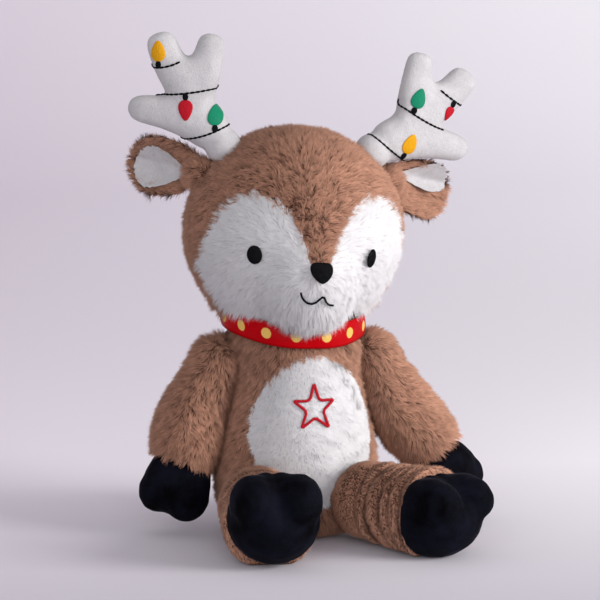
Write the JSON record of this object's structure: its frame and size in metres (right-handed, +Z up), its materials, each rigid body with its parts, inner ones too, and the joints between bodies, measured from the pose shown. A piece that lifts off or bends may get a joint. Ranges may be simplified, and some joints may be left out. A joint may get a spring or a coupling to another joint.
{
  "type": "plush deer",
  "caption": "Sitting plush deer with stuffed antlers, cupped ears, a white face and belly, velvet hooves and a dotted ribbon at the neck.",
  "frame": {"origin": "middle of the seat, on the surface the toy sits on", "axes": "+Z up, -Y the way the toy faces, +X towards the toy's left arm"},
  "size_m": [0.245, 0.2493, 0.348],
  "materials": {
    "brown_plush": "long soft pile",
    "white_plush": "soft pile",
    "white_velour": "short pile",
    "black_velvet": "short dense pile with a sheen",
    "black_thread": "embroidery",
    "red_thread": "embroidery",
    "green_thread": "embroidery",
    "yellow_thread": "embroidery",
    "red_satin": "satin with gold dots",
    "stuffing": "loose fibre filling",
    "pellets": "small pellets in a cloth bag"
  },
  "bodies": {
    "torso": {"torso_skin": "brown_plush", "torso_stuffing": "stuffing", "pellet_bag": "pellets", "belly_patch": "white_plush", "star_stitching": "red_thread", "neck_ribbon": "red_satin"},
    "head": {"head_skin": "brown_plush", "head_stuffing": "stuffing", "face_panel": "white_plush", "eye_right": "black_thread", "eye_left": "black_thread", "nose": "black_thread", "mouth_stitching": "black_thread"},
    "tail": {"tail": "brown_plush"},
    "ear_right": {"ear_right": "brown_plush", "ear_lining_right": "white_velour"},
    "antler_right": {"antler_right": "white_velour", "string_top_right": "black_thread", "bulb_top_right": "yellow_thread", "string_middle_right": "black_thread", "bulb_middle_right": "red_thread", "string_low_right": "black_thread", "bulb_low_right": "green_thread"},
    "arm_right": {"arm_right": "brown_plush", "hand_right": "black_velvet"},
    "leg_right": {"leg_right": "brown_plush", "foot_right": "black_velvet"},
    "ear_left": {"ear_left": "brown_plush", "ear_lining_left": "white_velour"},
    "antler_left": {"antler_left": "white_velour", "string_top_left": "black_thread", "bulb_top_left": "red_thread", "string_middle_left": "black_thread", "bulb_middle_left": "green_thread", "string_low_left": "black_thread", "bulb_low_left": "yellow_thread"},
    "arm_left": {"arm_left": "brown_plush", "hand_left": "black_velvet"},
    "leg_left": {"leg_left": "brown_plush", "foot_left": "black_velvet"}
  },
  "joints": [
    {"name": "head_turn", "type": "hinge", "parent": "torso", "child": "head", "pos_m": [0, 0, 0.157], "axis": [0, 0, 1], "range_deg": [-45, 45], "stiffness_Nm_per_rad": 0.1},
    {"name": "ear_flop_right", "type": "hinge", "parent": "head", "child": "ear_right", "pos_m": [-0.06615, 0.008, 0.25055], "axis": [0.4991, 0.866, -0.0305], "range_deg": [-10, 10], "stiffness_Nm_per_rad": 0.02},
    {"name": "antler_flop_right", "type": "hinge", "parent": "head", "child": "antler_right", "pos_m": [-0.05045, 0.001, 0.26963], "axis": [0.3414, 0.9397, -0.0209], "range_deg": [-6, 6], "stiffness_Nm_per_rad": 0.2},
    {"name": "arm_lift_right", "type": "hinge", "parent": "torso", "child": "arm_right", "pos_m": [-0.056, 0, 0.12], "axis": [-0.8211, 0.5708, 0], "range_deg": [0, 80]},
    {"name": "leg_lift_right", "type": "hinge", "parent": "torso", "child": "leg_right", "pos_m": [-0.04, -0.056, 0.0285], "axis": [-1, 0, 0], "range_deg": [-90, 35]},
    {"name": "ear_flop_left", "type": "hinge", "parent": "head", "child": "ear_left", "pos_m": [0.0686, 0.008, 0.24231], "axis": [0.2245, -0.9744, -0.0137], "range_deg": [-10, 10], "stiffness_Nm_per_rad": 0.02},
    {"name": "antler_flop_left", "type": "hinge", "parent": "head", "child": "antler_left", "pos_m": [0.05535, 0.001, 0.26316], "axis": [0.1043, -0.9945, -0.0064], "range_deg": [-6, 6], "stiffness_Nm_per_rad": 0.2},
    {"name": "arm_lift_left", "type": "hinge", "parent": "torso", "child": "arm_left", "pos_m": [0.056, 0, 0.12], "axis": [-0.8211, -0.5708, 0], "range_deg": [0, 80]},
    {"name": "leg_lift_left", "type": "hinge", "parent": "torso", "child": "leg_left", "pos_m": [0.04, -0.056, 0.0285], "axis": [-1, 0, 0], "range_deg": [-90, 35]},
    {"name": "tail_wag", "type": "hinge", "parent": "torso", "child": "tail", "pos_m": [0, 0.05862, 0.036], "axis": [1, 0, 0], "range_deg": [-20, 20], "stiffness_Nm_per_rad": 0.02}
  ]
}
